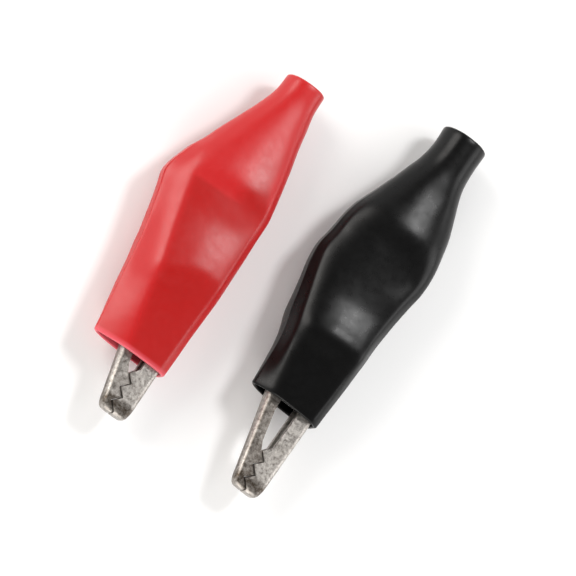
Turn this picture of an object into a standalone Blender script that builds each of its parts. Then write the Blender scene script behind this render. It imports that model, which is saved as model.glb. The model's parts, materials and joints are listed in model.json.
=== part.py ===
"""A matched pair of insulated alligator clips, one red and one black, lying on their sides.

Each clip is drawn in its own frame, in millimetres: the origin is on the pivot, x runs along the
boot towards its neck, y runs from the lower jaw to the upper jaw and z is the pivot's axis.
"""

import math

import bmesh
import bpy
from mathutils import Matrix, Vector

MM = 0.001

# How the two clips lie beside each other.
PIVOT_HEIGHT = 3.85
PIVOT_SPACING = 17.58
STAGGER = 2.04
SPLAY_DEGREES = 0.79
PAIR_SHIFT = (1.198, -4.622)

# Sheet-steel jaws.
SHEET = 0.45
BEND_RADIUS = 0.6
BEND_STEPS = 3
TIP = -18.6
NOSE_WALL = 0.55
TAIL = 16.4
HANDLE_END = 8.0
TIP_BITE = -1.85
FIRST_TOOTH = (-13.95, -0.92)
TOOTH_COUNT = 3
TOOTH_PITCH = 1.75
TOOTH_DEPTH = 0.88
TOOTH_DROP = 0.05
BITE_GAP = 0.08

# Rivet and its holes.
RIVET_RADIUS = 0.75
HOLE_RADIUS = 0.81
RIVET_HEAD_RADIUS = 1.5
RIVET_HEAD = 0.5
RIVET_SEAT = 2.64
ROUND_STEPS = 24

# Torsion spring around the rivet.
WIRE_RADIUS = 0.29
WIRE_SIDES = 8
COIL_RADIUS = 1.36
COIL_TURNS = 3
COIL_STEP_DEGREES = 20
COIL_PITCH = 0.68
LOWER_LEG_END = (6.5, -3.0)
UPPER_LEG_END = (5.5, 4.63)

# Moulded boot.
BOOT_WALL = 0.45
BOOT_SIDES = 32
FLAP_CUT_RISE = 1.9
FLAP_CUT_SLOPE = 0.15
FLAP_CUT_GAP = 0.1
NECK_HALF_HEIGHT = 2.65
PIVOT_HALF_HEIGHT = 3.95
UNDERSIDE_SWELL = 0.45

# Outlines as (x, y) or (x, half width) points from tip to tail.
LOWER_BACK = (
    (-18.6, -3.2), (-18.2, -3.6), (-17.4, -3.78), (-16.0, -3.8),
    (8.5, -3.8), (11.5, -2.2), (16.4, -2.2),
)
LOWER_EDGE = (
    (-12.95, -1.8), (-9.0, -1.85), (-5.0, -1.8),
    (-2.4, 0.2), (-1.3, 1.3), (0.0, 1.7), (1.3, 1.3), (2.4, 0.2),
    (4.5, -1.8), (9.0, -2.3), (11.5, -1.1),
    (12.9, -1.0), (13.2, 0.8), (15.4, 0.8), (15.7, -1.0), (16.4, -1.0),
)
LOWER_WIDTH = (
    (-18.6, 0.75), (-17.9, 1.1), (-17.0, 1.2), (-8.0, 1.4),
    (-3.4, 2.6), (4.0, 2.6), (9.0, 2.0), (16.4, 1.7),
)
UPPER_BACK = ((-18.6, -0.6), (-18.1, -0.25), (-17.5, -0.05), (0.0, 4.3), (8.0, 6.0))
UPPER_EDGE = (
    (-13.0, -0.35), (-9.5, 0.5), (-4.5, 0.8),
    (-2.2, -0.5), (-1.2, -1.4), (0.0, -1.75), (1.2, -1.4), (2.2, -0.5),
    (3.4, 1.4), (8.0, 4.2),
)
UPPER_WIDTH = (
    (-18.6, 0.75), (-17.9, 1.1), (-17.0, 1.2), (-8.0, 1.4), (-4.8, 1.7), (-3.0, 2.0), (8.0, 2.0),
)

# Boot sections: x, reach towards the upper jaw, reach towards the lower jaw, half height, squareness.
BOOTS = {
    "red": (
        (-12.1, 4.75, 4.55, 2.75, 4.4),
        (-6.5, 5.47, 4.60, 3.40, 4.4),
        (-0.9, 6.20, 4.65, 3.95, 4.4),
        (2.4, 6.97, 4.65, 3.95, 4.4),
        (6.9, 8.16, 4.65, 3.80, 4.0),
        (8.1, 7.95, 4.65, 3.65, 3.8),
        (10.3, 7.23, 4.34, 3.40, 3.2),
        (12.5, 6.20, 4.03, 3.20, 2.8),
        (14.8, 5.27, 3.67, 3.05, 2.6),
        (17.0, 4.29, 3.20, 2.80, 2.4),
        (19.3, 3.31, 2.84, 2.55, 2.2),
        (21.5, 2.60, 2.43, 2.40, 2.0),
        (23.7, 2.38, 2.38, 2.38, 2.0),
    ),
    "black": (
        (-8.4, 4.13, 4.49, 2.90, 3.8),
        (-2.8, 4.44, 4.60, 3.80, 4.2),
        (0.6, 5.37, 4.65, 3.95, 4.4),
        (2.8, 5.89, 4.70, 3.95, 4.4),
        (6.2, 6.71, 5.06, 3.90, 4.0),
        (8.4, 6.97, 5.32, 3.75, 3.8),
        (10.6, 6.66, 5.68, 3.55, 3.4),
        (12.9, 6.46, 5.68, 3.35, 3.0),
        (15.1, 5.94, 5.37, 3.20, 2.8),
        (17.4, 5.06, 4.91, 3.05, 2.6),
        (19.6, 4.24, 4.13, 2.90, 2.4),
        (21.8, 3.51, 3.31, 2.75, 2.2),
        (23.2, 3.05, 2.94, 2.65, 2.0),
        (25.3, 2.69, 2.74, 2.70, 2.0),
        (27.8, 2.74, 2.74, 2.74, 2.0),
    ),
}


def clear_scene():
    for thing in list(bpy.data.objects):
        bpy.data.objects.remove(thing, do_unlink=True)


def material(name, colour, roughness, metallic):
    made = bpy.data.materials.new(name)
    made.use_nodes = True
    shader = made.node_tree.nodes["Principled BSDF"]
    shader.inputs["Base Color"].default_value = (*colour, 1.0)
    shader.inputs["Roughness"].default_value = roughness
    shader.inputs["Metallic"].default_value = metallic
    return made


def add_object(name, mesh, parent, finish=None):
    """An object whose mesh, drawn in millimetres, becomes metres in its parent's frame."""
    mesh.transform(Matrix.Scale(MM, 4))
    thing = bpy.data.objects.new(name, mesh)
    bpy.context.scene.collection.objects.link(thing)
    thing.parent = parent
    if finish:
        mesh.materials.append(finish)
        mesh.shade_smooth()
        mesh.set_sharp_from_angle(angle=math.radians(32))
    return thing


def loft(rings, closed_ends=True):
    """A solid skinned over rings of the same number of points."""
    shape = bmesh.new()
    rows = [[shape.verts.new(point) for point in ring] for ring in rings]
    count = len(rings[0])
    for row, following in zip(rows, rows[1:]):
        for k in range(count):
            after = (k + 1) % count
            shape.faces.new((row[k], row[after], following[after], following[k]))
    if closed_ends:
        shape.faces.new(rows[0])
        shape.faces.new(rows[-1])
    else:
        for k in range(count):
            after = (k + 1) % count
            shape.faces.new((rows[-1][k], rows[-1][after], rows[0][after], rows[0][k]))
    bmesh.ops.recalc_face_normals(shape, faces=shape.faces)
    mesh = bpy.data.meshes.new("loft")
    shape.to_mesh(mesh)
    shape.free()
    return mesh


def carve(thing, cutter):
    """Subtracts the cutter and keeps it as a hidden wire guide."""
    cut = thing.modifiers.new("cut_" + cutter.name, "BOOLEAN")
    cut.operation = "DIFFERENCE"
    cut.object = cutter
    cutter.hide_render = True
    cutter.display_type = "WIRE"


def height_at(points, x):
    """The y of a polyline at x."""
    for (x0, y0), (x1, y1) in zip(points, points[1:]):
        if x <= x1:
            return y0 + (y1 - y0) * (x - x0) / (x1 - x0)
    return points[-1][1]


def bite_line(side):
    """The saw edge shared by both jaws, moved half the bite gap towards one jaw."""
    offset = side * BITE_GAP / 2
    line = [(TIP, TIP_BITE + offset)]
    for tooth in reversed(range(TOOTH_COUNT)):
        peak_x = FIRST_TOOTH[0] - tooth * TOOTH_PITCH
        peak_y = FIRST_TOOTH[1] - tooth * TOOTH_DROP + offset
        line.append((peak_x - TOOTH_PITCH / 2, peak_y - TOOTH_DEPTH))
        line.append((peak_x, peak_y))
    return tuple(line)


def channel_section(x, back, edge, half, side, inset=0.0):
    """A bent-sheet section across x: round corners on the back, square at the open edge."""
    radius = BEND_RADIUS - inset
    wide = half - inset
    spine = back + side * inset
    corner_y = spine + side * radius
    corner_z = wide - radius
    ring = [(x, edge, -wide)]
    for step in range(BEND_STEPS + 1):
        turn = math.pi / 2 * step / BEND_STEPS
        ring.append((x, corner_y - side * radius * math.sin(turn), -corner_z - radius * math.cos(turn)))
    for step in range(BEND_STEPS + 1):
        turn = math.pi / 2 * (1 - step / BEND_STEPS)
        ring.append((x, corner_y - side * radius * math.sin(turn), corner_z + radius * math.cos(turn)))
    ring.append((x, edge, wide))
    return ring


def jaw(name, parent, finish, back, edge, width, side, end):
    """A jaw folded from one sheet: a channel with a closed nose, saw edge and pivot ears.

    side is +1 where the channel opens towards the upper jaw and -1 where it opens downwards.
    """
    profile = bite_line(-side) + edge
    stations = sorted({x for points in (back, profile, width) for x, _ in points})
    outside = [channel_section(x, height_at(back, x), height_at(profile, x), height_at(width, x), side)
               for x in stations]
    body = add_object(name, loft(outside), parent, finish)
    beyond = 12.0 * side
    inner_stations = [TIP + NOSE_WALL] + [x for x in stations if x > TIP + NOSE_WALL + 0.1]
    inner_stations[-1] = end + 1.0
    inside = [channel_section(x, height_at(back, x), beyond, height_at(width, x), side, SHEET)
              for x in inner_stations]
    carve(body, add_object(name + "_hollow", loft(inside), parent))
    hole = cylinder(HOLE_RADIUS, 10.0)
    carve(body, add_object(name + "_pivot_hole", hole, parent))
    return body


def turned(profile):
    """A solid of revolution about z from (radius, z) points, closed at both ends."""
    rings = []
    for radius, z in profile:
        angles = [2 * math.pi * k / ROUND_STEPS for k in range(ROUND_STEPS)]
        rings.append([(radius * math.cos(a), radius * math.sin(a), z) for a in angles])
    return loft(rings)


def cylinder(radius, length):
    return turned(((radius, -length / 2), (radius, length / 2)))


def rivet(name, parent, finish):
    """A shank with two domed heads."""
    crown = RIVET_SEAT + RIVET_HEAD
    rim = RIVET_SEAT + RIVET_HEAD * 0.35
    half = (
        (RIVET_RADIUS, RIVET_SEAT),
        (RIVET_HEAD_RADIUS, RIVET_SEAT),
        (RIVET_HEAD_RADIUS, rim),
        (RIVET_HEAD_RADIUS * 0.72, crown - RIVET_HEAD * 0.15),
        (RIVET_HEAD_RADIUS * 0.35, crown),
    )
    lower = tuple((radius, -z) for radius, z in reversed(half))
    return add_object(name, turned(lower + half), parent, finish)


def tangent_angle(leg_end, turn):
    """Where a straight leg from its end point touches the coil, on one side or the other."""
    distance = math.hypot(*leg_end)
    return math.atan2(leg_end[1], leg_end[0]) + turn * math.acos(COIL_RADIUS / distance)


def spring_path():
    """The wire's centre line: a leg, the coil and the other leg."""
    start = tangent_angle(LOWER_LEG_END, -1)
    finish = tangent_angle(UPPER_LEG_END, 1) - 2 * math.pi * (COIL_TURNS + 1)
    sweep = start - finish
    rise = COIL_PITCH * sweep / (2 * math.pi)
    steps = round(math.degrees(sweep) / COIL_STEP_DEGREES)
    path = [Vector((*LOWER_LEG_END, -rise / 2))]
    for step in range(steps + 1):
        share = step / steps
        angle = start - sweep * share
        path.append(Vector((COIL_RADIUS * math.cos(angle), COIL_RADIUS * math.sin(angle), rise * (share - 0.5))))
    path.append(Vector((*UPPER_LEG_END, rise / 2)))
    return path


def torsion_spring(name, parent, finish):
    """Round wire swept along the spring's centre line."""
    path = spring_path()
    rings = []
    for i, centre in enumerate(path):
        before = path[max(i - 1, 0)]
        after = path[min(i + 1, len(path) - 1)]
        along = (after - before).normalized()
        across = along.cross(Vector((0, 0, 1))).normalized()
        upward = across.cross(along)
        angles = [2 * math.pi * k / WIRE_SIDES for k in range(WIRE_SIDES)]
        rings.append([centre + WIRE_RADIUS * (math.cos(a) * across + math.sin(a) * upward) for a in angles])
    return add_object(name, loft(rings), parent, finish)


def boot_ring(section, inset):
    """A squared oval across the boot, flattened underneath where the boot rests."""
    x, upper, lower, half, squareness = section
    floor = PIVOT_HEIGHT - inset
    fullness = max(half - NECK_HALF_HEIGHT, 0.0) / (PIVOT_HALF_HEIGHT - NECK_HALF_HEIGHT)
    stretch = 1 + UNDERSIDE_SWELL * fullness / half
    ring = []
    for k in range(BOOT_SIDES):
        turn = 2 * math.pi * (k + 0.5) / BOOT_SIDES
        reach = (upper if math.cos(turn) > 0 else lower) - inset
        y = math.copysign(abs(math.cos(turn)) ** (2 / squareness), math.cos(turn)) * reach
        z = math.copysign(abs(math.sin(turn)) ** (2 / squareness), math.sin(turn)) * (half - inset)
        if z < 0:
            z = max(z * stretch, -floor)
        ring.append((x, y, z))
    return ring


def boot_shell(sections):
    """A sleeve of even wall, open at its mouth and its neck."""
    outside = [boot_ring(section, 0.0) for section in sections]
    inside = [boot_ring(section, BOOT_WALL) for section in reversed(sections)]
    return loft(outside + inside, closed_ends=False)


def half_space(above):
    """A large block whose one face lies on the plane where the boot bends."""
    level = FLAP_CUT_RISE + (0.5 if not above else -0.5) * FLAP_CUT_GAP
    far = 30.0 if above else -30.0
    ends = (-40.0, 45.0)
    rings = []
    for x in ends:
        plane = level + FLAP_CUT_SLOPE * x
        rings.append([(x, plane, -20.0), (x, plane, 20.0), (x, far, 20.0), (x, far, -20.0)])
    return loft(rings)


def boot(colour, parent, finish):
    """The soft boot: a sleeve, and the side over the thumb plate that bends with the upper jaw."""
    for name, above in (("boot_sleeve", True), ("boot_flap", False)):
        piece = add_object(f"{colour}_{name}", boot_shell(BOOTS[colour]), parent, finish)
        carve(piece, add_object(f"{colour}_{name}_trim", half_space(above), parent))


def clip(colour, pivot, yaw, finishes):
    """One clip, with every piece in the frame of an empty on its pivot."""
    frame = bpy.data.objects.new(colour + "_clip_frame", None)
    bpy.context.scene.collection.objects.link(frame)
    frame.location = (pivot[0] * MM, pivot[1] * MM, PIVOT_HEIGHT * MM)
    frame.rotation_euler = (0.0, 0.0, math.radians(yaw))
    jaw(colour + "_lower_jaw", frame, finishes["jaw"], LOWER_BACK, LOWER_EDGE, LOWER_WIDTH, 1, TAIL)
    jaw(colour + "_upper_jaw", frame, finishes["jaw"], UPPER_BACK, UPPER_EDGE, UPPER_WIDTH, -1, HANDLE_END)
    rivet(colour + "_pivot_rivet", frame, finishes["rivet"])
    torsion_spring(colour + "_torsion_spring", frame, finishes["spring"])
    boot(colour, frame, finishes[colour])


def main():
    clear_scene()
    finishes = {
        "jaw": material("nickel_plate", (0.60, 0.57, 0.53), 0.35, 1.0),
        "rivet": material("rivet_steel", (0.66, 0.64, 0.61), 0.30, 1.0),
        "spring": material("spring_steel", (0.42, 0.41, 0.40), 0.35, 1.0),
        "red": material("red_vinyl", (0.56, 0.02, 0.02), 0.40, 0.0),
        "black": material("black_vinyl", (0.02, 0.02, 0.02), 0.38, 0.0),
    }
    for colour, way in (("red", -1), ("black", 1)):
        pivot = (PAIR_SHIFT[0] + way * PIVOT_SPACING / 2, PAIR_SHIFT[1] + way * STAGGER / 2)
        clip(colour, pivot, 90.0 - way * SPLAY_DEGREES, finishes)


main()
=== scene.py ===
"""The looks of a red and black pair of insulated alligator clips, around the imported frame.

Every piece is drawn in its clip's own frame, in millimetres, and then placed in the row frame in
metres: x runs along the boot from the pivot to the neck, y towards the upper jaw, z along the rivet.
"""

import json
import math

import bmesh
import bpy
from mathutils import Matrix, Vector, noise


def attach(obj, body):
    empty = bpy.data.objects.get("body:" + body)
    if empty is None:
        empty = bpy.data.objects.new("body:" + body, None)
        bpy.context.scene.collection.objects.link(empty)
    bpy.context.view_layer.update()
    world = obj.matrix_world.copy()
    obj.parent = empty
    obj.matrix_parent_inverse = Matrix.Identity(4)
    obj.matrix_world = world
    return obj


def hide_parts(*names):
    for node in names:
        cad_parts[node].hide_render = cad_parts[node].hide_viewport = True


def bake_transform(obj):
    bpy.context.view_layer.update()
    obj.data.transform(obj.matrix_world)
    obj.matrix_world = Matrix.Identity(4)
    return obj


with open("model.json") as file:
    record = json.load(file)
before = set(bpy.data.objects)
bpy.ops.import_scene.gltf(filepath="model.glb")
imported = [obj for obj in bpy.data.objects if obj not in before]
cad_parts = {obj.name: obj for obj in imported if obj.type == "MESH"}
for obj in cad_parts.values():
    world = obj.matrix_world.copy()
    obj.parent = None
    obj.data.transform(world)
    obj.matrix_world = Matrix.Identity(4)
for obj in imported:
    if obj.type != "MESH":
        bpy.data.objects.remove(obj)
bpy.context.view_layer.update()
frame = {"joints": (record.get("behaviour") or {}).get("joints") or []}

MM = 0.001
COLOURS = ("red", "black")

# Jaws, in millimetres.
SHEET = 0.45
BEND_RADIUS = 0.6
BEND_STEPS = 7
WALL_DRAFT = 0.085
TIP = -18.6
NOSE_WALL = 0.5
TIP_BITE = -1.85
FIRST_TOOTH = (-13.95, -0.92)
TOOTH_COUNT = 3
TOOTH_PITCH = 1.75
TOOTH_DEPTH = 0.88
TOOTH_DROP = 0.05
BITE_GAP = 0.14
EDGE_BREAK = {"red": 0.06, "black": 0.15}
# Painted shade on the upper jaws' recessed side walls, stronger on the black clip.
WALL_SHADE = {"red": 0.25, "black": 0.65}
HOLE_RADIUS = 0.81
CUTTER_REACH = 12.0

# Rivet and spring.
RIVET_RADIUS = 0.75
RIVET_HEAD_RADIUS = 1.5
RIVET_HEAD = 0.5
RIVET_SEAT = 2.64
RIVET_RIM = 0.12
ROUND_STEPS = 48
WIRE_RADIUS = 0.29
WIRE_SIDES = 16
COIL_RADIUS = 1.36
COIL_TURNS = 3
COIL_STEP_DEGREES = 8
COIL_PITCH = 0.62
LOWER_LEG_END = (6.5, -3.0)
UPPER_LEG_END = (5.5, 4.45)

# Boots.
PIVOT_HEIGHT = 3.85
BOOT_WALL = 0.42
RING_POINTS = 112
RING_SPACING = 0.45
RIM_STEPS = 5
RIPPLE = 0.035
RIPPLE_SIZE = 3.2

LOWER_BACK = (
    (-18.6, -3.2), (-18.45, -3.45), (-18.15, -3.63), (-17.4, -3.78), (-16.0, -3.8),
    (8.5, -3.8), (11.5, -2.2), (16.4, -2.2),
)
LOWER_EDGE = (
    (-12.95, -1.8), (-9.0, -1.85), (-5.0, -1.8),
    (-2.4, 0.2), (-1.9, 0.75), (-1.3, 1.25), (-0.7, 1.58), (0.0, 1.7), (0.7, 1.58),
    (1.3, 1.25), (1.9, 0.75), (2.4, 0.2),
    (4.5, -1.8), (9.0, -2.3), (11.5, -1.1),
    (12.9, -1.0), (13.2, 0.8), (15.4, 0.8), (15.7, -1.0), (16.4, -1.0),
)
LOWER_WIDTH = (
    (-18.6, 0.8), (-18.3, 1.02), (-17.8, 1.13), (-17.0, 1.2), (-8.0, 1.4),
    (-3.4, 2.2), (-2.2, 2.6), (4.0, 2.6), (9.0, 2.0), (16.4, 1.7),
)
UPPER_BACK = ((-18.6, -0.6), (-18.45, -0.4), (-18.1, -0.22), (-17.5, -0.05), (0.0, 4.3), (8.0, 6.0))
UPPER_EDGE = (
    (-13.0, -0.35), (-9.5, 0.5), (-4.5, 0.8),
    (-2.2, -0.5), (-1.7, -1.05), (-1.2, -1.4), (-0.6, -1.67), (0.0, -1.75), (0.6, -1.67),
    (1.2, -1.4), (1.7, -1.05), (2.2, -0.5),
    (3.4, 1.4), (8.0, 4.2),
)
UPPER_WIDTH = (
    (-18.6, 0.7), (-18.3, 0.85), (-17.8, 0.92), (-17.0, 0.96), (-8.0, 1.16),
    (-4.8, 1.62), (-3.0, 1.9), (4.0, 1.9), (8.0, 1.65),
)

# Boot sections: x, reach towards the upper jaw, reach towards the lower jaw, top, squareness.
BOOTS = {
    "red": (
        (-12.1, 4.75, 4.49, 2.15, 3.2),
        (-6.5, 5.47, 4.55, 2.85, 3.1),
        (-3.8, 5.81, 4.60, 3.32, 3.0),
        (-2.0, 6.05, 4.63, 3.80, 3.0),
        (-1.2, 6.17, 4.64, 3.92, 3.0),
        (0.3, 6.45, 4.65, 3.80, 3.0),
        (1.8, 6.84, 4.65, 3.64, 3.0),
        (3.8, 7.33, 4.65, 3.37, 3.0),
        (5.0, 7.65, 4.65, 3.27, 3.0),
        (6.9, 8.16, 4.65, 3.28, 3.0),
        (8.4, 7.90, 4.63, 3.30, 2.9),
        (9.6, 7.46, 4.47, 3.40, 2.8),
        (10.6, 7.13, 4.32, 3.36, 2.7),
        (12.5, 6.20, 4.03, 3.10, 2.6),
        (14.8, 5.27, 3.67, 2.82, 2.4),
        (17.0, 4.29, 3.20, 2.60, 2.3),
        (19.3, 3.31, 2.84, 2.43, 2.1),
        (21.5, 2.58, 2.43, 2.32, 2.0),
        (23.7, 2.38, 2.38, 2.38, 2.0),
    ),
    "black": (
        (-8.4, 4.13, 4.49, 2.35, 3.2),
        (-2.4, 4.55, 4.61, 3.25, 3.1),
        (-0.5, 5.01, 4.63, 3.80, 3.0),
        (0.3, 5.29, 4.65, 3.94, 3.0),
        (2.8, 5.89, 4.70, 3.52, 3.0),
        (4.8, 6.35, 4.90, 3.20, 3.0),
        (6.4, 6.76, 5.08, 3.11, 3.0),
        (8.4, 6.97, 5.32, 3.10, 2.9),
        (10.6, 6.66, 5.68, 3.12, 2.8),
        (12.9, 6.46, 5.68, 3.20, 2.7),
        (14.2, 6.20, 5.53, 3.34, 2.6),
        (15.2, 5.91, 5.34, 3.36, 2.6),
        (17.4, 5.06, 4.91, 3.08, 2.4),
        (19.6, 4.24, 4.13, 2.84, 2.3),
        (21.8, 3.51, 3.31, 2.70, 2.1),
        (23.2, 3.05, 2.94, 2.63, 2.0),
        (25.3, 2.69, 2.74, 2.68, 2.0),
        (27.8, 2.74, 2.74, 2.74, 2.0),
    ),
}

# The soft top: how it swells, folds and drapes over what is inside.
NECK_HALF_HEIGHT = 2.65
PIVOT_HALF_HEIGHT = 3.95
UNDERSIDE_SWELL = 0.45
MOUTH_PINCH = 1.3
MOUTH_PINCH_LENGTH = 3.5
CREST = {"red": 9.9, "black": 14.8}
DENT = {"red": (7.4, -3.0), "black": (10.8, -3.0)}
DENT_DEPTH = 0.25
FOLD_SLANT = {"red": 0.4, "black": 0.1}
FOLD_AT = {"red": -1.2, "black": 0.3}
FOLD_LENGTH = 5.0
CROWN_UPPER = 0.018
CROWN_LOWER = 0.008
SQUARER_LOWER = 1.6
FACET_BLEND = {"red": 1.3, "black": 0.6}
UPPER_CORNER = 0.84
LOWER_CORNER = 0.76
UPPER_FALL = 0.85
LOWER_FALL = 0.50
RIVET_BULGE = 0.06
CREST_HEIGHT = 0.10


def joint(name):
    return next(j for j in frame["joints"] if j["name"] == name)


def clip_matrix(colour):
    """From a clip's own frame in millimetres to the row frame in metres."""
    along = Vector(joint(colour + "_boot_slide")["axis"]).normalized()
    up = Vector((0, 0, 1))
    across = up.cross(along)
    turn = Matrix((along, across, up)).transposed().to_4x4()
    place = Matrix.Translation(Vector(joint(colour + "_jaw_hinge")["pos_m"]))
    return place @ turn @ Matrix.Scale(MM, 4)


# ---------------------------------------------------------------- meshes


def skin(rings, closed_ends=True):
    """A closed mesh over rings of the same number of points."""
    shape = bmesh.new()
    rows = [[shape.verts.new(point) for point in ring] for ring in rings]
    count = len(rings[0])
    pairs = list(zip(rows, rows[1:]))
    if closed_ends:
        shape.faces.new(rows[0])
        shape.faces.new(rows[-1])
    else:
        pairs.append((rows[-1], rows[0]))
    for row, following in pairs:
        for k in range(count):
            after = (k + 1) % count
            shape.faces.new((row[k], row[after], following[after], following[k]))
    bmesh.ops.recalc_face_normals(shape, faces=shape.faces)
    mesh = bpy.data.meshes.new("skin")
    shape.to_mesh(mesh)
    shape.free()
    return mesh


def add_piece(name, mesh, finish, sharp_degrees=40):
    piece = bpy.data.objects.new(name, mesh)
    bpy.context.scene.collection.objects.link(piece)
    mesh.materials.append(finish)
    mesh.shade_smooth()
    mesh.set_sharp_from_angle(angle=math.radians(sharp_degrees))
    return piece


def apply_modifiers(piece):
    """Bakes the modifiers into the piece's mesh."""
    evaluated = piece.evaluated_get(bpy.context.evaluated_depsgraph_get())
    mesh = bpy.data.meshes.new_from_object(evaluated)
    piece.modifiers.clear()
    old = piece.data
    piece.data = mesh
    bpy.data.meshes.remove(old)


def carve(piece, *cutters):
    """Subtracts the cutters from the piece and removes them."""
    for cutter in cutters:
        tool = bpy.data.objects.new("cutter", cutter)
        bpy.context.scene.collection.objects.link(tool)
        cut = piece.modifiers.new("cut", "BOOLEAN")
        cut.operation = "DIFFERENCE"
        cut.object = tool
        apply_modifiers(piece)
        bpy.data.objects.remove(tool)
        bpy.data.meshes.remove(cutter)


def place(piece, colour):
    piece.data.transform(clip_matrix(colour))
    return piece


def level(points, x):
    """The value of a polyline at x."""
    for (x0, y0), (x1, y1) in zip(points, points[1:]):
        if x <= x1:
            return y0 + (y1 - y0) * (x - x0) / (x1 - x0)
    return points[-1][1]


def smooth_level(sections, column, x):
    """A rounded curve through one column of the sections, without overshoot."""
    knots = [(section[0], section[column]) for section in sections]
    slopes = [(b[1] - a[1]) / (b[0] - a[0]) for a, b in zip(knots, knots[1:])]
    i = 0
    while i < len(slopes) - 1 and x > knots[i + 1][0]:
        i += 1
    before = slopes[max(i - 1, 0)]
    here = slopes[i]
    after = slopes[min(i + 1, len(slopes) - 1)]
    start = (before + here) / 2
    end = (here + after) / 2
    (x0, y0), (x1, y1) = knots[i], knots[i + 1]
    span = x1 - x0
    t = min(max((x - x0) / span, 0.0), 1.0)
    return (
        y0 * (1 + 2 * t) * (1 - t) ** 2
        + start * span * t * (1 - t) ** 2
        + y1 * t * t * (3 - 2 * t)
        + end * span * t * t * (t - 1)
    )


# ---------------------------------------------------------------- jaws


def bite_line(side):
    """The saw edge shared by both jaws, moved half the bite gap towards one jaw."""
    offset = side * BITE_GAP / 2
    line = [(TIP, TIP_BITE + offset)]
    for tooth in reversed(range(TOOTH_COUNT)):
        peak_x = FIRST_TOOTH[0] - tooth * TOOTH_PITCH
        peak_y = FIRST_TOOTH[1] - tooth * TOOTH_DROP + offset
        line.append((peak_x - TOOTH_PITCH / 2, peak_y - TOOTH_DEPTH))
        line.append((peak_x, peak_y))
    return tuple(line)


def channel_section(x, back, edge, half, side, inset=0.0):
    """A bent-sheet section whose walls lean out a little towards the open edge."""
    radius = BEND_RADIUS - inset
    spine = back + side * inset
    corner_y = spine + side * radius
    height = abs(edge - corner_y)
    wide = half - inset
    corner_z = wide - radius - WALL_DRAFT * min(height, 3.0)
    half_ring = []
    for step in range(BEND_STEPS + 1):
        turn = math.pi / 2 * step / BEND_STEPS
        bend_y = corner_y - side * radius * math.cos(turn)
        bend_z = corner_z + radius * math.sin(turn)
        half_ring.append((bend_y, bend_z))
    half_ring.append((edge, wide))
    left = [(x, y, -z) for y, z in reversed(half_ring)]
    right = [(x, y, z) for y, z in half_ring]
    return left + right


def jaw(colour, name, back, edge, width, side, finish):
    """A jaw folded from one sheet, with broken edges and a rounded nose."""
    profile = bite_line(-side) + edge
    stations = sorted({x for points in (back, profile, width) for x, _ in points})
    outside = []
    for x in stations:
        outside.append(channel_section(x, level(back, x), level(profile, x), level(width, x), side))
    piece = add_piece(f"{colour}_{name}_shell", skin(outside), finish)
    inner = [TIP + NOSE_WALL] + [x for x in stations if x > TIP + NOSE_WALL + 0.1]
    inner[-1] += 1.0
    inside = []
    for x in inner:
        open_side = CUTTER_REACH * side
        inside.append(channel_section(x, level(back, x), open_side, level(width, x), side, SHEET))
    carve(piece, skin(inside), turned(((HOLE_RADIUS, -5.0), (HOLE_RADIUS, 5.0))))
    tidy(piece.data)
    soften(piece, EDGE_BREAK[colour] if side > 0 else EDGE_BREAK["red"])
    # Painted shade: a dark band behind the nose, and darker side walls on the upper jaws.
    mark_painted_shade(piece.data, WALL_SHADE[colour] if side < 0 else 0.0)
    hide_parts(f"{colour}_{name}")
    return place(piece, colour)


def tidy(mesh):
    """Merges the faces that a cut leaves split, so that edges bevel cleanly."""
    shape = bmesh.new()
    shape.from_mesh(mesh)
    bmesh.ops.remove_doubles(shape, verts=shape.verts, dist=0.002)
    bmesh.ops.dissolve_limit(shape, angle_limit=math.radians(1.5), verts=shape.verts, edges=shape.edges)
    shape.to_mesh(mesh)
    shape.free()


def soften(piece, width):
    bevel = piece.modifiers.new("edge", "BEVEL")
    bevel.width = width
    bevel.segments = 2
    bevel.limit_method = "ANGLE"
    bevel.angle_limit = math.radians(38)
    apply_modifiers(piece)
    piece.data.shade_smooth()
    piece.data.set_sharp_from_angle(angle=math.radians(40))


def mark_painted_shade(mesh, walls):
    """Painted shade on the plating: a dark band behind the nose, where its bevel turns away from the
    light, and over the side walls of some jaws, which sit recessed.
    """
    shade_amount = mesh.attributes.new("jaw_shade", "FLOAT", "POINT")
    for i, vertex in enumerate(mesh.vertices):
        # The band behind the nose and the walls term are both painted shade.
        nose_shade = 1.4 * math.exp(-(((vertex.co.x - TIP - 1.0) / 0.65) ** 2))
        wall = walls * blur_step(abs(vertex.co.z) - 0.7, 0.2)
        shade_amount.data[i].value = min(nose_shade + wall, 1.0)


def turned(profile):
    """A solid of revolution about z from (radius, z) points."""
    angles = [2 * math.pi * k / ROUND_STEPS for k in range(ROUND_STEPS)]
    rings = []
    for radius, z in profile:
        rings.append([(radius * math.cos(a), radius * math.sin(a), z) for a in angles])
    return skin(rings)


def rivet(colour, finish):
    """A shank with two domed heads, each with a shallow dimple from the tool."""
    rim = RIVET_RIM
    dome = [(RIVET_RADIUS, RIVET_SEAT), (RIVET_HEAD_RADIUS - rim, RIVET_SEAT)]
    for step in range(5):
        turn = math.pi / 2 * step / 4
        radius = RIVET_HEAD_RADIUS - rim + rim * math.sin(turn)
        dome.append((radius, RIVET_SEAT + rim * (1 - math.cos(turn))))
    for step in range(1, 7):
        turn = math.pi / 2 * step / 6
        radius = RIVET_HEAD_RADIUS * (1 - 0.52 * step / 6)
        dome.append((radius, RIVET_SEAT + rim + (RIVET_HEAD - rim) * math.sin(turn)))
    dome.append((RIVET_HEAD_RADIUS * 0.34, RIVET_SEAT + RIVET_HEAD * 0.86))
    dome.append((RIVET_HEAD_RADIUS * 0.12, RIVET_SEAT + RIVET_HEAD * 0.80))
    lower = [(radius, -z) for radius, z in reversed(dome)]
    piece = add_piece(colour + "_rivet_turned", turned(lower + dome), finish)
    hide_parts(colour + "_pivot_rivet")
    return place(piece, colour)


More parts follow.
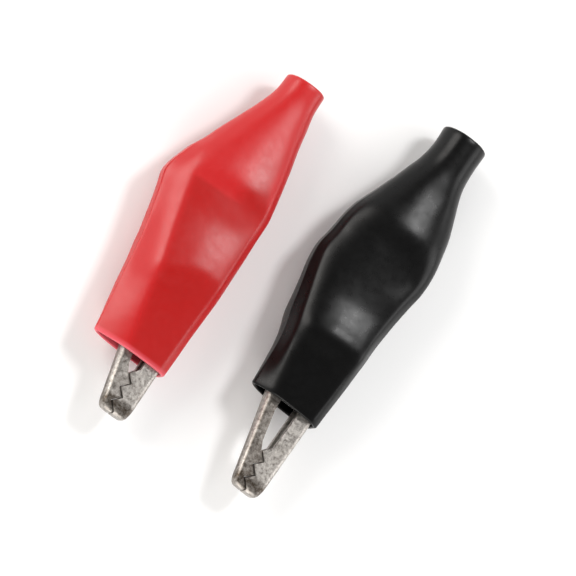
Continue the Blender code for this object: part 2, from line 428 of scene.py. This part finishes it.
# ---------------------------------------------------------------- spring


def tangent_angle(leg_end, turn):
    distance = math.hypot(*leg_end)
    return math.atan2(leg_end[1], leg_end[0]) + turn * math.acos(COIL_RADIUS / distance)


def spring_path():
    """The wire's centre line: a leg, the coil and the other leg."""
    start = tangent_angle(LOWER_LEG_END, -1)
    finish = tangent_angle(UPPER_LEG_END, 1) - 2 * math.pi * (COIL_TURNS + 1)
    sweep = start - finish
    rise = COIL_PITCH * sweep / (2 * math.pi)
    steps = round(math.degrees(sweep) / COIL_STEP_DEGREES)
    path = [Vector((*LOWER_LEG_END, -rise / 2))]
    for step in range(steps + 1):
        share = step / steps
        angle = start - sweep * share
        height = rise * (share - 0.5)
        path.append(Vector((COIL_RADIUS * math.cos(angle), COIL_RADIUS * math.sin(angle), height)))
    path.append(Vector((*UPPER_LEG_END, rise / 2)))
    return path


def spring(colour, finish):
    """Round wire swept along the spring's centre line, twisted between the two jaws."""
    path = spring_path()
    rings = []
    for i, centre in enumerate(path):
        along = (path[min(i + 1, len(path) - 1)] - path[max(i - 1, 0)]).normalized()
        across = along.cross(Vector((0, 0, 1))).normalized()
        upward = across.cross(along)
        angles = [2 * math.pi * k / WIRE_SIDES for k in range(WIRE_SIDES)]
        spokes = [math.cos(a) * across + math.sin(a) * upward for a in angles]
        rings.append([centre + WIRE_RADIUS * spoke for spoke in spokes])
    piece = place(add_piece(colour + "_spring_wire", skin(rings), finish), colour)
    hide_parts(colour + "_torsion_spring")
    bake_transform(piece)


# ---------------------------------------------------------------- boots


def boot_point(colour, x, turn, inset):
    """A point of the boot's skin, drawn in by inset from its outer face."""
    sections = BOOTS[colour]
    upper = smooth_level(sections, 1, x)
    lower = smooth_level(sections, 2, x)
    top = smooth_level(sections, 3, x)
    power = smooth_level(sections, 4, x)
    across = math.cos(turn)
    if across < 0:
        power += SQUARER_LOWER * math.exp(-((x / 13.0) ** 4))
    else:
        power -= MOUTH_PINCH * math.exp(-(((x - sections[0][0]) / MOUTH_PINCH_LENGTH) ** 2))
    upright = math.sin(turn)
    reach = (upper if across > 0 else lower) - inset
    y = math.copysign(abs(across) ** (2 / power), across) * reach
    if upright > 0:
        near_fold = math.exp(-(((x - FOLD_AT[colour]) / FOLD_LENGTH) ** 2))
        slant = FOLD_SLANT[colour] * max(y, -1.0) * near_fold
        top += (smooth_level(sections, 3, max(x + slant, sections[0][0])) - top) * upright
    z = math.copysign(abs(upright) ** (2 / power), upright) * (top - inset)
    if z < 0:
        fullness = max(top - NECK_HALF_HEIGHT, 0.0) / (PIVOT_HALF_HEIGHT - NECK_HALF_HEIGHT)
        z = max(z * (1 + UNDERSIDE_SWELL * fullness / top), inset - PIVOT_HEIGHT)
    else:
        blend = FACET_BLEND[colour] * upright
        z = soft_minimum(z, chamfer(x, y, upper, lower, top) - inset + blend / 4, blend)
        z += (drape(x, y, colour) - (CROWN_UPPER if y > 0 else CROWN_LOWER) * y * y) * upright
    wave = RIPPLE * noise.noise(Vector((x, y, z)) / RIPPLE_SIZE)
    shift = wave * min(1.0, abs(z + PIVOT_HEIGHT) / 0.8)
    return Vector((x, y * (1 + shift / 5), z * (1 + shift / 3)))


def soft_minimum(first, second, blend):
    near = max(blend - abs(first - second), 0.0) / blend
    return min(first, second) - near * near * blend / 4


def chamfer(x, y, upper, lower, top):
    """The height of the flat flanks, which run from the jaws' corners down to the boot's sides."""
    if y > 0:
        corner = min(level(UPPER_BACK, x) - 0.2, UPPER_CORNER * upper)
        return top * (1 - UPPER_FALL * max(y - corner, 0.0) / (upper - corner))
    corner = LOWER_CORNER * lower
    return top * (1 - LOWER_FALL * max(-y - corner, 0.0) / (lower - corner))


def bump_at(x, y, centre, size):
    return math.exp(-(((x - centre[0]) / size[0]) ** 2) - ((y - centre[1]) / size[1]) ** 2)


def drape(x, y, colour):
    """How far the soft top stands up over the rivet's head and sinks where nothing is behind it."""
    rivet_bulge = RIVET_BULGE * math.exp(-(((x - 0.4) ** 2 + (y + 0.1) ** 2) / 3.2) ** 2)
    crest = CREST_HEIGHT * bump_at(x, y, (CREST[colour], -0.5), (1.6, 2.0))
    dent = DENT_DEPTH * bump_at(x, y, DENT[colour], (2.2, 1.6))
    return rivet_bulge + crest - dent


def blur_step(value, width):
    """Rises from 0 to 1 while value goes from 0 to width."""
    share = min(max(value / width, 0.0), 1.0)
    return share * share * (3 - 2 * share)


def mark_backing(mesh, mouth, insets):
    """Where metal lies close behind the soft wall, and where the wall is thin at the mouth: the masks
    for painted shade over the metal and painted light through the thin wall.
    """
    backing = mesh.attributes.new("backing", "FLOAT", "POINT")
    thin = mesh.attributes.new("thin", "FLOAT", "POINT")
    for i, vertex in enumerate(mesh.vertices):
        x, y, z = vertex.co
        top = level(UPPER_BACK, x) if x < 8.0 else 0.8
        bottom = level(LOWER_BACK, x)
        inside = blur_step(top + 0.2 - y, 1.4) * blur_step(y - bottom + 0.4, 1.0)
        backing.data[i].value = inside * blur_step(17.5 - x, 7.0) * blur_step(abs(z) - 0.8, 1.2)
        inset = insets[i // RING_POINTS]
        reach = 4.0 if inset > 0.6 * BOOT_WALL else 0.5
        thin.data[i].value = blur_step(mouth + reach - x, reach)


def boot(colour, finish):
    """One continuous soft moulding with rounded rims at the mouth and the neck."""
    sections = BOOTS[colour]
    mouth = sections[0][0]
    neck = sections[-1][0]
    steps = round((neck - mouth) / RING_SPACING)
    turns = [2 * math.pi * (k + 0.5) / RING_POINTS for k in range(RING_POINTS)]
    track = []
    round_rim = BOOT_WALL / 2
    for step in range(steps + 1):
        track.append((mouth + round_rim + (neck - mouth - 2 * round_rim) * step / steps, 0.0))
    for step in range(1, RIM_STEPS):
        turn = math.pi * step / RIM_STEPS
        track.append((neck - round_rim + round_rim * math.sin(turn), round_rim * (1 - math.cos(turn))))
    for step in range(steps + 1):
        track.append((neck - round_rim - (neck - mouth - 2 * round_rim) * step / steps, BOOT_WALL))
    for step in range(1, RIM_STEPS):
        turn = math.pi * step / RIM_STEPS
        track.append((mouth + round_rim - round_rim * math.sin(turn), round_rim * (1 + math.cos(turn))))
    rings = [[boot_point(colour, x, turn, inset) for turn in turns] for x, inset in track]
    piece = add_piece(colour + "_boot", skin(rings, closed_ends=False), finish, 60)
    # Masks for the painted shade over the metal and the painted light through the thin mouth wall.
    mark_backing(piece.data, mouth, [inset for _, inset in track])
    place(piece, colour)
    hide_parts(colour + "_boot_sleeve", colour + "_boot_flap")
    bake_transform(piece)


# ---------------------------------------------------------------- materials


class Finish:
    """A node material with short helpers."""

    def __init__(self, name):
        self.material = bpy.data.materials.new(name)
        self.material.use_nodes = True
        self.tree = self.material.node_tree
        self.shader = self.tree.nodes["Principled BSDF"]
        self.where = self.add("ShaderNodeTexCoord").outputs["Object"]

    def add(self, kind, **settings):
        made = self.tree.nodes.new(kind)
        for key, value in settings.items():
            setattr(made, key, value)
        return made

    def wire(self, source, target):
        self.tree.links.new(source, target)

    def set(self, **values):
        for key, value in values.items():
            self.shader.inputs[key.replace("_", " ")].default_value = value

    def cloud(self, size_mm, detail=3.0, rough=0.55, stretch=(1, 1, 1)):
        """Noise from 0 to 1 whose blotches are about size_mm across."""
        mapping = self.add("ShaderNodeMapping")
        mapping.inputs["Scale"].default_value = [s / (size_mm * MM) for s in stretch]
        self.wire(self.where, mapping.inputs["Vector"])
        texture = self.add("ShaderNodeTexNoise")
        texture.inputs["Scale"].default_value = 1.0
        texture.inputs["Detail"].default_value = detail
        texture.inputs["Roughness"].default_value = rough
        self.wire(mapping.outputs["Vector"], texture.inputs["Vector"])
        return texture.outputs["Fac"]

    def ramp(self, source, *stops):
        made = self.add("ShaderNodeValToRGB")
        elements = made.color_ramp.elements
        while len(elements) < len(stops):
            elements.new(0.5)
        for element, (position, colour) in zip(elements, stops):
            element.position = position
            element.color = (*colour, 1.0)
        self.wire(source, made.inputs["Fac"])
        return made.outputs["Color"]

    def span(self, source, low, high, from_low=0.0, from_high=1.0):
        made = self.add("ShaderNodeMapRange")
        made.inputs["From Min"].default_value = from_low
        made.inputs["From Max"].default_value = from_high
        made.inputs["To Min"].default_value = low
        made.inputs["To Max"].default_value = high
        self.wire(source, made.inputs["Value"])
        return made.outputs["Result"]

    def mix(self, share, first, second, blend="MIX"):
        made = self.add("ShaderNodeMix", data_type="RGBA", blend_type=blend)
        inputs = [s for s in made.inputs if s.enabled]
        for socket, value in zip(inputs, (share, first, second)):
            if isinstance(value, bpy.types.NodeSocket):
                self.wire(value, socket)
            elif isinstance(value, (int, float)):
                socket.default_value = value
            else:
                socket.default_value = (*value, 1.0)
        return next(s for s in made.outputs if s.enabled)

    def bump(self, *layers):
        """Height layers as (source, depth in millimetres)."""
        normal = None
        for source, depth in layers:
            made = self.add("ShaderNodeBump")
            made.inputs["Strength"].default_value = 1.0
            made.inputs["Distance"].default_value = depth * MM
            self.wire(source, made.inputs["Height"])
            if normal:
                self.wire(normal, made.inputs["Normal"])
            normal = made.outputs["Normal"]
        self.wire(normal, self.shader.inputs["Normal"])


def nickel():
    """Dull nickel plate: warm grey and mottled, with painted brown shade where the jaws' mesh marks it,
    behind the nose and on recessed side walls.
    """
    look = Finish("nickel_plate_look")
    look.set(Metallic=1.0)
    mottle = look.cloud(0.38, 5.0, 0.75)
    broad = look.cloud(2.4, 2.0, 0.5)
    plate = look.ramp(
        mottle,
        (0.34, (0.20, 0.18, 0.165)),
        (0.50, (0.47, 0.44, 0.41)),
        (0.66, (0.66, 0.63, 0.59)),
    )
    plate = look.mix(look.span(broad, 0.0, 0.4, 0.35, 0.75), plate, (0.36, 0.32, 0.28))
    shade_amount = look.add("ShaderNodeAttribute", attribute_name="jaw_shade").outputs["Fac"]
    patchy_shade = look.add("ShaderNodeMath", operation="MULTIPLY")
    look.wire(shade_amount, patchy_shade.inputs[0])
    look.wire(look.span(mottle, 1.0, 0.55, 0.35, 0.65), patchy_shade.inputs[1])
    # Mixes in the painted shade as a dark brown, patchy with the mottle.
    plate = look.mix(patchy_shade.outputs[0], plate, (0.075, 0.055, 0.038))
    look.wire(plate, look.shader.inputs["Base Color"])
    look.wire(look.span(mottle, 0.34, 0.55, 0.3, 0.7), look.shader.inputs["Roughness"])
    grain = look.cloud(0.14, 4.0, 0.7)
    look.bump((broad, 0.020), (mottle, 0.016), (grain, 0.004))
    return look.material


def bright_steel(name, colour, grain_mm):
    """Turned or drawn steel with fine streaks."""
    look = Finish(name)
    look.set(Metallic=1.0)
    streak = look.cloud(grain_mm, 4.0, 0.6, stretch=(1, 0.25, 1))
    darker = tuple(0.7 * c for c in colour)
    look.wire(look.ramp(streak, (0.35, darker), (0.65, colour)), look.shader.inputs["Base Color"])
    look.wire(look.span(streak, 0.25, 0.42, 0.3, 0.7), look.shader.inputs["Roughness"])
    look.bump((streak, 0.004))
    return look.material


def vinyl(name, shaded_over_metal, lit_through_wall, mouth, roughness, gloss, glow):
    """Soft moulded vinyl in lit and shaded copies of its colour: painted shade where metal lies behind
    it, painted light where no metal is behind, and a paler painted glow where its wall is thin at the
    mouth.
    """
    look = Finish(name)
    look.set(Specular_IOR_Level=gloss, Subsurface_Weight=glow, Subsurface_Scale=0.0009)
    look.set(Subsurface_Radius=(1.0, 0.25, 0.22))
    broad = look.cloud(5.0, 2.0)
    fine = look.cloud(0.9, 3.0, 0.6)
    backing = look.add("ShaderNodeAttribute", attribute_name="backing").outputs["Fac"]
    thin = look.add("ShaderNodeAttribute", attribute_name="thin").outputs["Fac"]
    uneven_shade = look.add("ShaderNodeMath", operation="MULTIPLY")
    look.wire(backing, uneven_shade.inputs[0])
    look.wire(look.span(broad, 0.8, 1.0, 0.3, 0.7), uneven_shade.inputs[1])
    # Painted shade where metal is behind the wall, painted light through the bare wall, and a paler
    # painted glow through the thin wall at the mouth.
    tint = look.mix(uneven_shade.outputs[0], lit_through_wall, shaded_over_metal)
    look.wire(look.mix(thin, tint, mouth), look.shader.inputs["Base Color"])
    sheen = look.span(fine, roughness - 0.03, roughness + 0.04, 0.3, 0.7)
    look.wire(sheen, look.shader.inputs["Roughness"])
    look.bump((look.cloud(2.6, 1.5), 0.03), (fine, 0.001))
    return look.material


def floor_finish():
    look = Finish("white_table")
    paint = look.ramp(look.cloud(60.0), (0.3, (0.86, 0.86, 0.86)), (0.7, (0.89, 0.89, 0.89)))
    look.wire(paint, look.shader.inputs["Base Color"])
    look.set(Roughness=0.8)
    return look.material


# ---------------------------------------------------------------- stage

VIEW_FROM = Vector((-0.24, -0.22, 0.94)).normalized()
VIEW_TARGET = Vector((0.00313, -0.00116, 0.0039))
VIEW_DISTANCE = 0.80
VIEW_LENS = 459.0
BOOT_ANGLE_DEGREES = 55.8
WALLS_LIGHT = 1.0
CEILING_LIGHT = 0.16
TABLE_HALF_SIZE = 1.2
TABLE_GAP = 0.00005


def camera():
    """Looks down from the mouths' side, rolled so that the boots point to the upper right."""
    ahead = Vector((0, 1, 0))
    ahead = (ahead - ahead.dot(VIEW_FROM) * VIEW_FROM).normalized()
    sideways = ahead.cross(VIEW_FROM)
    tilt = math.radians(BOOT_ANGLE_DEGREES)
    right = math.cos(tilt) * ahead + math.sin(tilt) * sideways
    up = math.sin(tilt) * ahead - math.cos(tilt) * sideways
    lens = bpy.data.cameras.new("camera")
    lens.lens = VIEW_LENS
    lens.sensor_width = 36.0
    lens.clip_start = 0.01
    eye = bpy.data.objects.new("camera", lens)
    turn = Matrix((right, up, VIEW_FROM)).transposed().to_4x4()
    eye.matrix_world = Matrix.Translation(VIEW_TARGET + VIEW_DISTANCE * VIEW_FROM) @ turn
    bpy.context.scene.collection.objects.link(eye)
    bpy.context.scene.camera = eye


def area_light(name, toward, distance, size, power, colour=(1, 1, 1)):
    """A round soft light that faces the middle of the pair."""
    lamp = bpy.data.lights.new(name, "AREA")
    lamp.shape = "DISK"
    lamp.size = size
    lamp.energy = power
    lamp.color = colour
    made = bpy.data.objects.new(name, lamp)
    direction = Vector(toward).normalized()
    made.location = direction * distance
    made.rotation_euler = direction.to_track_quat("Z", "Y").to_euler()
    bpy.context.scene.collection.objects.link(made)


def studio():
    """Surroundings that are bright low down and dimmer overhead."""
    world = bpy.data.worlds.new("studio")
    world.use_nodes = True
    tree = world.node_tree
    where = tree.nodes.new("ShaderNodeTexCoord")
    split = tree.nodes.new("ShaderNodeSeparateXYZ")
    ramp = tree.nodes.new("ShaderNodeValToRGB")
    ramp.color_ramp.elements[0].position = 0.35
    ramp.color_ramp.elements[1].position = 0.85
    ramp.color_ramp.elements[0].color = (*(WALLS_LIGHT,) * 3, 1)
    ramp.color_ramp.elements[1].color = (*(CEILING_LIGHT,) * 3, 1)
    tree.links.new(where.outputs["Generated"], split.inputs[0])
    tree.links.new(split.outputs["Z"], ramp.inputs["Fac"])
    tree.links.new(ramp.outputs["Color"], tree.nodes["Background"].inputs["Color"])
    bpy.context.scene.world = world


def stage():
    mesh = bpy.data.meshes.new("table")
    size = TABLE_HALF_SIZE
    corners = [(-size, -size, 0), (size, -size, 0), (size, size, 0), (-size, size, 0)]
    mesh.from_pydata(corners, [], [(0, 1, 2, 3)])
    mesh.materials.append(floor_finish())
    table = bpy.data.objects.new("table", mesh)
    bpy.context.scene.collection.objects.link(table)
    table.location.z = -TABLE_GAP
    studio()
    area_light("key", (0.24, 0.54, 0.80), 0.45, 0.12, 0.9)
    area_light("left", (-0.9, 0.1, 0.55), 0.5, 0.34, 1.7, (1.0, 0.97, 0.93))
    area_light("right", (0.95, 0.25, 0.50), 0.5, 0.30, 0.6)
    area_light("front", (0.1, -0.9, 0.55), 0.6, 0.35, 1.4, (1.0, 0.98, 0.95))
    bpy.context.scene.view_settings.view_transform = "Standard"


def main():
    plate = nickel()
    rivet_steel = bright_steel("rivet_look", (0.72, 0.70, 0.66), 0.3)
    wire_steel = bright_steel("spring_look", (0.50, 0.49, 0.48), 0.2)
    covers = {
        "red": vinyl(
            "red_vinyl_look",
            # Shaded and lit copies of the red: painted shade over the metal, painted light through the
            # bare wall and at the mouth.
            shaded_over_metal=(0.36, 0.005, 0.004),
            lit_through_wall=(0.46, 0.011, 0.012),
            mouth=(0.72, 0.11, 0.14),
            roughness=0.36,
            gloss=0.42,
            glow=0.2,
        ),
        "black": vinyl(
            "black_vinyl_look",
            # Shaded and lit copies of the black, for painted shade over the metal and painted light
            # elsewhere.
            shaded_over_metal=(0.0025,) * 3,
            lit_through_wall=(0.003,) * 3,
            mouth=(0.003,) * 3,
            roughness=0.29,
            gloss=0.2,
            glow=0.0,
        ),
    }
    for colour in COLOURS:
        lower = jaw(colour, "lower_jaw", LOWER_BACK, LOWER_EDGE, LOWER_WIDTH, 1, plate)
        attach(lower, colour + "_clip")
        upper = jaw(colour, "upper_jaw", UPPER_BACK, UPPER_EDGE, UPPER_WIDTH, -1, plate)
        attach(upper, colour + "_jaw")
        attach(rivet(colour, rivet_steel), colour + "_clip")
        spring(colour, wire_steel)
        boot(colour, covers[colour])
    stage()
    camera()


main()
